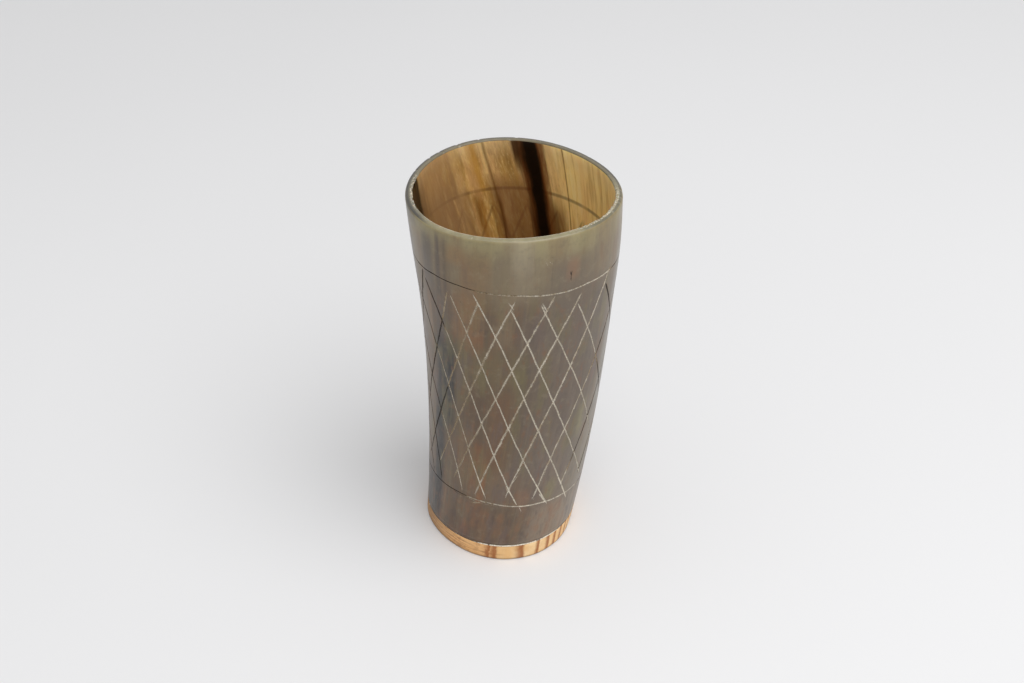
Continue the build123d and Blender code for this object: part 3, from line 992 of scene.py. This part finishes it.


# Inside of the horn, with a painted shadow of the cuts where they show through the wall: mm and degrees
hornInsideLook = {
    "amber": tone(204, 164, 108), "honey": tone(190, 150, 86), "umber": tone(104, 74, 40),
    "pale": tone(252, 230, 158), "ghost": tone(88, 58, 38), "bleached": tone(206, 190, 150),
    "straw": tone(176, 134, 66), "cream": tone(255, 240, 186), "roughness": 0.34, "gloss": 0.22, "ior": 1.54,
    "ghostRing": (125.4, -0.2, 0.3), "ghostTop": (121.0, 118.0), "ghostEnd": (27.0, 31.0),
    "ghostLevel": 75.0, "ghostStarts": ((1, 2.1), (-1, 2.7)), "ghostPerTurn": 17,
    "fields": {
        "broad": (2.4, 0.012, 3.0, 0.55), "cloud": (6.5, 0.039, 4.0, 0.55), "fibre": (24.0, 0.03, 3.0, 0.6),
        "fine": (80.0, 0.06, 2.0, 0.6), "dabs": (34.0, 0.16, 3.0, 0.6), "smears": (11.0, 0.07, 3.0, 0.55),
        "specks": (46.0, 0.45, 3.0, 0.65), "lines": (17.0, 0.05, 3.0, 0.6),
    },
    "layers": [
        # painted light: the right side of the bore is pale where light glows through the wall
        ("turn", -10.0, -34.0, 0.88, "pale"),
        ("smears", 0.50, 0.70, 0.30, "umber", "easy"), ("smears", 0.46, 0.32, 0.24, "pale"),
        ("dabs", 0.52, 0.72, 0.28, "umber", "easy"), ("dabs", 0.46, 0.30, 0.24, "pale"),
        ("specks", 0.54, 0.70, 0.24, "umber", "easy"), ("specks", 0.46, 0.32, 0.24, "pale", "easy"),
        ("fibre", 0.54, 0.78, 0.22, "umber", "easy"), ("fine", 0.54, 0.80, 0.10, "umber", "easy"),
        ("broad", 0.60, 0.72, 0.22, "umber"), ("lines", 0.50, 0.68, 0.42, "straw", "onPaintedGlow"),
        ("lines", 0.48, 0.34, 0.40, "cream", "onPaintedGlow"), ("height", 136.0, 145.0, 0.32, "bleached"),
    ],
    "streaks": [
        # brown left side: the horn's own brown with painted shade, darker low down
        (62, 18, 16, -20, 160, 5, (166, 128, 86), 0.7), (66, 26, 20, -20, 133, 22, (136, 104, 72), 0.6),
        (80, 9, 9, -20, 141, 14, (100, 74, 50), 0.6),
        # broad tones in the middle and at the right
        (8, 9, 6, -20, 129, 8, (128, 88, 54), 0.7), (40, 3, 5, -20, 160, 5, (202, 166, 112), 0.35),
        (-46, 3, 6, -20, 160, 5, (236, 204, 140), 0.4), (37, 4, 5, -20, 126, 8, (140, 104, 66), 0.55),
        (30, 3, 4, 125, 134, 5, (206, 160, 100), 0.5),
        # rusty stretch left of the middle
        (25, 2.2, 4.5, 126, 160, 8, (184, 132, 34), 0.6), (29, 2.6, 4.5, -20, 124, 8, (152, 98, 24), 0.6),
        (31, 1, 3, 111, 124, 5, (110, 66, 12), 0.55),
        # thin brown lines beside it
        (22, 0.6, 1.8, -20, 122, 12, (110, 70, 20), 0.6), (20, 1.5, 3, -20, 130, 8, (128, 86, 36), 0.6),
        (17.4, 0.6, 2, -20, 160, 5, (96, 58, 16), 0.7), (17, 1.5, 2.8, -20, 126, 16, (92, 50, 12), 0.8),
        # thin lines at the right
        (-31.6, 0.4, 1, -20, 160, 5, (132, 84, 16), 0.8), (-58, 0.5, 1.5, -20, 160, 5, (170, 130, 70), 0.4),
        # dark wedge at the far left
        (91, 13.5, 4, -20, 160, 5, (12, 7, 3), 0.99),
        # the black streak, with its brown and rusty edges; the first streak here, at -24 degrees, is painted
        # shade on the right below 121 mm
        (-24, 5, 8, -20, 121, 10, (150, 104, 52), 0.6), (-19, 3, 5, -20, 121, 10, (92, 56, 20), 0.7),
        (-9.0, 7.6, 5, -20, 160, 5, (92, 42, 5), 0.92), (-16.4, 1.2, 4.2, -20, 160, 5, (118, 64, 12), 0.6),
        (-0.8, 2.8, 3.5, 134, 160, 12, (58, 26, 4), 0.9), (-3.4, 2.4, 4, -20, 124, 14, (70, 38, 12), 0.6),
        (-9.0, 4.2, 4, -20, 160, 5, (9, 3, 1), 0.99), (-6.8, 2.6, 3, 131, 160, 8, (12, 4, 1), 0.95),
    ],
}


def shadowOfCuts(look, around, height, cloud):
    # painted shadow: the cut ring and strokes darken the bore where they show through the wall from outside
    across, away, _ = around.split()
    turn, _ = spreadAngle(around, 1)
    level, leanX, leanY = look["ghostRing"]
    ringGap = abs(height - (level + leanX * across + leanY * away))
    ring = ringGap.rise(1.0, 0.2) * (0.3 + 0.5 * cloud)
    lattice = None
    for lean, first in look["ghostStarts"]:
        path = turn + lean * latticeCuts["slope"] * (height - look["ghostLevel"]) - first
        line = around.maths("PINGPONG", path, 180 / look["ghostPerTurn"]).rise(1.5, 0.2)
        lattice = line if lattice is None else lattice.most(line)
    lattice = lattice * height.rise(*look["ghostTop"]) * height.rise(*look["ghostEnd"])
    return ring.most(lattice * (0.5 + 0.6 * cloud) * 0.5)


def paintHornInside():
    look = hornInsideLook
    made, board = newMaterial("hornInside")
    grain, around = board.stored("grain", "Vector"), board.stored("around", "Vector")
    turn, height = spreadAngle(grain, 1)
    field = dict(makeFields(grain, look["fields"]), turn=turn, height=height)
    cloud, fibre = field["cloud"], field["fibre"]
    frayed = field["broad"] + cloud - 1.0 + (fibre - 0.5) * 1.4 + (field["smears"] - 0.5) * 1.6
    # the right side is painted paler for the light that glows through the wall; it is more even, and its
    # fibres lie in soft brown and straw lines
    masks = {"easy": 1.0 - 0.6 * turn.rise(-12.0, -34.0), "onPaintedGlow": turn.rise(-16.0, -30.0)}
    colour = cloud.rise(0.40, 0.66).blend(look["amber"], look["honey"])
    colour = layTones(colour, look["layers"], field, masks, look)
    colour = shadowOfCuts(look, around, height, cloud).blend(colour, look["ghost"])
    colour = layStreaks(colour, turn, height, frayed, look["streaks"])
    finishMaterial(board, {"Base Color": colour, "Roughness": look["roughness"] + (fibre - 0.5) * 0.14,
                           "Normal": board.bump(0.2, fibre * 0.6 + field["fine"] * 0.4), "IOR": look["ior"],
                           "Specular IOR Level": look["gloss"], "Subsurface Weight": 0.75,
                           "Subsurface Radius": (1.0, 0.88, 0.5), "Subsurface Scale": 0.003})
    return made


# Pine foot: mm; latewood stripes across the growth layers, as place and half width
pineFoot = {
    "columns": 240, "uneven": 0.07, "seed": 31, "edgeRound": 0.6, "edgeSteps": 3, "sideRows": 5,
    "plugRows": 3, "layerTurn": (0.545, 0.839), "layerBend": 0.02, "layerWaver": 1.2, "layerFray": 0.5,
    "flatFrom": (22.5, 26.0), "darkSide": (-24.0, -27.0), "roughness": 0.62, "ior": 1.45,
    "stripes": [(-26.5, 0.34), (-25.6, 0.62), (-20.1, 1.25), (-14.5, 0.8), (-10.1, 0.95), (-6.6, 0.85),
                (-3.1, 0.9), (0.6, 0.7), (3.4, 0.7), (7.2, 0.8), (11.4, 1.0), (15.2, 0.7), (19.6, 1.1),
                (24.4, 0.9), (28.6, 0.7)],
    "early": tone(246, 211, 160), "late": tone(164, 100, 48), "honey": tone(236, 190, 130),
    "side": tone(156, 120, 84), "amber": tone(222, 160, 92), "russet": tone(168, 112, 70),
    "bark": tone(150, 102, 60), "dirtAndShade": tone(92, 68, 46),
    "fields": {
        "waver": (0.12, 0.12, 2.0, 0.55), "fray": (1.4, 1.4, 3.0, 0.55), "pores": (3.0, 0.5, 3.0, 0.65),
        "cells": (9.0, 9.0, 2.0, 0.6), "mottled": (0.5, 0.9, 3.0, 0.6), "plain": (0.09, 1.5, 4.0, 0.62),
    },
    # the left side is darker, partly the wood's own colour and partly painted shade; where the layers lie
    # flat to the surface their edges run along it
    "under": [
        ("layer", -24.6, -27.0, 0.6, "amber"), ("across", -16.0, -27.0, 0.85, "side"),
        ("mottled", 0.48, 0.66, 0.5, "russet", "darkSide"), ("plain", 0.50, 0.62, 0.5, "bark", "flatSawn"),
        ("plain", 0.47, 0.36, 0.35, "honey", "flatSawn"),
    ],
    "over": [
        # the cells darken with dirt, and the band along the bottom edge is painted shade where the foot
        # meets the floor
        ("pores", 0.55, 0.8, 0.25, "late"), ("cells", 0.6, 0.8, 0.2, "dirtAndShade"), ("up", 1.3, 0.2, 0.6, "dirtAndShade"),
    ],
}


def paintPine():
    look = pineFoot
    made, board = newMaterial("pineWood")
    place = board.inMillimetres()
    across, away, up = place.split()
    field = makeFields(place, look["fields"])
    pores = field["pores"]
    turnX, turnY = look["layerTurn"]
    layer = turnX * across + turnY * away + (field["waver"] - 0.5) * look["layerWaver"]
    along = turnX * away - turnY * across
    layer = layer - look["layerBend"] * along.most(0.0) ** 2.0 + (field["fray"] - 0.5) * look["layerFray"]
    late = None
    for middle, half in look["stripes"]:
        # latewood darkens slowly from one side and stops short on the other
        gap = layer - middle
        stripe = gap.rise(-half * 1.5, half * 0.3) * gap.rise(half * 1.3, half * 0.6)
        late = stripe if late is None else late.most(stripe)
    field.update(layer=layer, across=across, up=up)
    masks = {"darkSide": layer.rise(*look["darkSide"]), "flatSawn": abs(layer).rise(*look["flatFrom"])}
    colour = field["waver"].rise(0.35, 0.7).blend(look["early"], look["honey"])
    colour = layTones(colour, look["under"], field, masks, look)
    colour = (late * (0.7 + 0.5 * pores)).least(1.0).blend(colour, look["late"])
    colour = layTones(colour, look["over"], field, masks, look)
    rough = look["roughness"] - late * 0.12 + (pores - 0.5) * 0.2
    bump = board.bump(0.35, pores + field["cells"] * 0.5 - late * 0.4)
    finishMaterial(board, {"Base Color": colour, "Roughness": rough, "Normal": bump, "IOR": look["ior"]})
    return made


def pineSheet():
    edge, shoulder, plugTop = pineFoot["edgeRound"], wallForm["shoulder"], wallForm["plugTop"]
    rows = [(edge, 0.0, 0.0, share) for share in (0.0, 0.25, 0.5, 0.75)]
    for turn in quarterTurn(pineFoot["edgeSteps"]):
        rows.append((edge * (1 - math.sin(turn)), edge * (1 - math.cos(turn)), 0.0, 1.0))
    for step in range(pineFoot["sideRows"]):
        share = (step + 1) / pineFoot["sideRows"]
        rows.append((0.0, edge + (shoulder - edge) * share, share, 1.0))
    foot = plugInset(shoulder)
    rows += [(foot / 2, shoulder, 1.0, 1.0), (foot, shoulder, 1.0, 1.0)]
    for step in range(pineFoot["plugRows"]):
        height = shoulder + (plugTop - shoulder) * (step + 1) / pineFoot["plugRows"]
        rows.append((plugInset(height), height, 1.0, 1.0))
    rows += [(plugInset(plugTop), plugTop, 1.0, share) for share in (0.66, 0.33, 0.0)]
    return ringSheet(rows, pineFoot["columns"], False, pineFoot["seed"], pineFoot["uneven"])


# Glue between horn and foot: mm, with a bead that stands a little proud in places
glueBead = {
    "columns": 480, "proud": 0.2, "climb": 0.32, "seed": 44, "lumps": (26, 60, 34),
    "frontEdges": (-26, -12, 34, 50),              # front angles where the thick stretch starts and ends
    "beadRows": {2: (0.35, 0.0), 3: (0.8, 0.0), 4: (1.0, 0.4), 5: (0.9, 0.8), 6: (0.5, 1.0)},
    "light": tone(240, 232, 214), "dark": tone(70, 52, 36), "tan": tone(160, 130, 92),
    "roughness": 0.5, "ior": 1.5, "fields": {"crumbs": (2.2, 2.2, 3.0, 0.65)},
    "layers": [("crumbs", 0.6, 0.75, 0.3, "tan")],
}


def glueSheet():
    low, high, top = wallForm["shoulder"], wallForm["hornEnd"], wallForm["plugTop"]
    foot = plugInset(low)
    outline = [(foot, low), (foot / 2, low), (0.02, low - 0.02), (0.0, low + 0.08), (0.0, low + 0.16),
               (0.0, low + 0.26), (0.02, high + 0.03), (wallAt(high) / 2, high), (wallAt(high), high),
               (wallAt(top), top), (plugInset(top), top)]
    sheet = ringSheet([(inset, height, 1.0, 1.0) for inset, height in outline], glueBead["columns"], True)
    rng = np.random.default_rng(glueBead["seed"])
    count = glueBead["columns"] + 1
    broad, small, thick = glueBead["lumps"]
    lumps = np.clip(slowWave(rng, count, broad) * 0.6 + slowWave(rng, count, small) * 0.5, 0, 1)
    front = frontAngle(sheetStart + np.linspace(0, 360, count))
    start, startFull, endFull, end = glueBead["frontEdges"]
    inFront = smoothShare(front, start, startFull) * (1 - smoothShare(front, endFull, end))
    thickened = inFront * np.clip(0.55 + 0.5 * slowWave(rng, count, thick), 0, 0.8)
    lumps = np.clip(lumps * (0.35 + 0.65 * inFront) + thickened, 0, 1)
    lumps[-1] = lumps[0]
    bead = np.zeros(len(sheet["points"]))
    for row, (outward, upward) in glueBead["beadRows"].items():
        span = slice(row * count, (row + 1) * count)
        sheet["points"][span, 2] -= glueBead["proud"] * lumps * outward
        sheet["points"][span, 1] += glueBead["climb"] * lumps * upward
        bead[span] = lumps
    sheet["values"]["bead"] = bead
    return sheet


def paintGlue():
    look = glueBead
    made, board = newMaterial("driedGlue")
    field = makeFields(board.inMillimetres(), look["fields"])
    crumbs = field["crumbs"]
    onBead = board.stored("bead").rise(0.08, 0.4) * crumbs.rise(0.25, 0.5)
    colour = layTones(onBead.blend(look["dark"], look["light"]), look["layers"], field, {}, look)
    finishMaterial(board, {"Base Color": colour, "Roughness": look["roughness"] + crumbs * 0.2,
                           "Normal": board.bump(0.4, crumbs), "IOR": look["ior"]})
    return made


# Seal over the plug: mm; it creeps a little up the bore as it sets
sealCoat = {
    "columns": 240, "creep": 0.9, "creepSteps": 4, "body": tone(172, 122, 62), "deep": tone(128, 84, 38),
    "mote": tone(84, 54, 26), "roughness": 0.22, "ior": 1.5, "coat": 0.4, "brushing": (0.20, 0.31, 0.05),
    "fields": {"pool": (0.05, 0.05, 3.0, 0.55), "motes": (1.6, 1.6, 2.0, 0.7)},
    "layers": [("brushed", 0.55, 0.7, 0.35, "deep"), ("motes", 0.66, 0.76, 0.3, "mote")],
}


def sealSheet():
    low, high, creep = wallForm["plugTop"], wallForm["sealTop"], sealCoat["creep"]
    rows = [(wallAt(low), low, 1.0, share) for share in (0.0, 0.5, 1.0)]
    rows.append((wallAt(high), high, 1.0, 1.0))
    for turn in quarterTurn(sealCoat["creepSteps"]):
        inset = wallAt(high + creep) + creep * (1 - math.cos(turn))
        rows.append((inset, high + creep * (1 - math.sin(turn)), 1.0, 1.0))
    inset, height = rows[-1][:2]
    rows += [(inset, height, 1.0, share) for share in (0.8, 0.55, 0.3, 0.0)]
    return ringSheet(rows, sealCoat["columns"], False)


def paintSeal():
    look = sealCoat
    made, board = newMaterial("amberSeal")
    place = board.inMillimetres()
    field = makeFields(place, look["fields"])
    field["brushed"] = place.scaled(look["brushing"]).noise(1.0, 2.0, 0.55)
    pool, motes = field["pool"], field["motes"]
    colour = pool.rise(0.35, 0.65).blend(look["body"], look["deep"])
    colour = layTones(colour, look["layers"], field, {}, look)
    finishMaterial(board, {"Base Color": colour, "Roughness": look["roughness"] + motes * 0.12,
                           "Normal": board.bump(0.15, pool + motes * 0.2, 0.3), "IOR": look["ior"],
                           "Coat Weight": look["coat"]})
    return made


def makePieces():
    horn = wrapSheet("hornWall", hornSheet(), [paintHornOutside(), paintHornRim(), paintHornInside()])
    foot = wrapSheet("pineFoot", pineSheet(), [paintPine()])
    glue = wrapSheet("glueBead", glueSheet(), [paintGlue()])
    seal = wrapSheet("sealCoat", sealSheet(), [paintSeal()])
    for piece, node, slot in ((horn, "horn_body", "horn"), (foot, "wood_base", "pine"),
                              (glue, "glue_seam", "glue"), (seal, "base_seal", "seal")):
        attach(piece, "root")
        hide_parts(node)


# Studio: metres, degrees and plain light levels
studio = {
    "floorSize": 14.0, "floor": tone(230, 230, 231), "floorLight": tone(232, 232, 233),
    "worldLight": 0.58, "backdrop": 0.80,
    "keyPower": 13.9, "keySize": 1.3, "keyTurn": 44.0, "keyRise": 62.0, "keyDistance": 1.4, "keyAim": 0.06,
    "cameraPlace": (0.0048, -0.42547, 0.37882), "cameraTilt": 55.0, "lens": 50.0, "sensor": 36.0,
}


def makeFloor():
    bpy.ops.mesh.primitive_plane_add(size=studio["floorSize"])
    floor = bpy.context.object
    floor.name = "floor"
    made, board = newMaterial("paleFloor")
    cloud = board.node("ShaderNodeTexCoord", {}, {}, "Object").noise(2.0, 2.0, 0.55)
    colour = cloud.rise(0.3, 0.7).blend(studio["floor"], studio["floorLight"])
    finishMaterial(board, {"Base Color": colour, "Roughness": 0.75, "Specular IOR Level": 0.2})
    floor.data.materials.append(made)


def makeLight():
    world = bpy.data.worlds.new("studio")
    scene.world = world
    world.use_nodes = True
    world.node_tree.nodes.clear()
    board = Wire(world.node_tree)
    path = board.node("ShaderNodeLightPath")
    seen = path.most(path.other("Is Glossy Ray")).most(path.other("Is Transmission Ray"))
    level = studio["worldLight"] + seen * (studio["backdrop"] - studio["worldLight"])
    sky = board.node("ShaderNodeBackground", {}, {"Color": (1.0, 1.0, 1.0, 1.0), "Strength": level})
    board.node("ShaderNodeOutputWorld", {}, {"Surface": sky})

    lamp = bpy.data.lights.new("key", "AREA")
    lamp.shape, lamp.size, lamp.energy = "DISK", studio["keySize"], studio["keyPower"]
    key = bpy.data.objects.new("key", lamp)
    scene.collection.objects.link(key)
    turn, rise = math.radians(studio["keyTurn"]), math.radians(studio["keyRise"])
    back = Vector((math.sin(turn) * math.cos(rise), -math.cos(turn) * math.cos(rise), math.sin(rise)))
    key.location = back * studio["keyDistance"] + Vector((0, 0, studio["keyAim"]))
    key.rotation_euler = back.to_track_quat("Z", "Y").to_euler()


def makeCamera():
    lens = bpy.data.cameras.new("camera")
    lens.lens, lens.sensor_width = studio["lens"], studio["sensor"]
    camera = bpy.data.objects.new("camera", lens)
    scene.collection.objects.link(camera)
    camera.location = studio["cameraPlace"]
    camera.rotation_euler = (math.radians(studio["cameraTilt"]), 0.0, 0.0)
    scene.camera = camera
    scene.view_settings.view_transform = "Standard"


makePieces()
makeFloor()
makeLight()
makeCamera()
print("studio set")
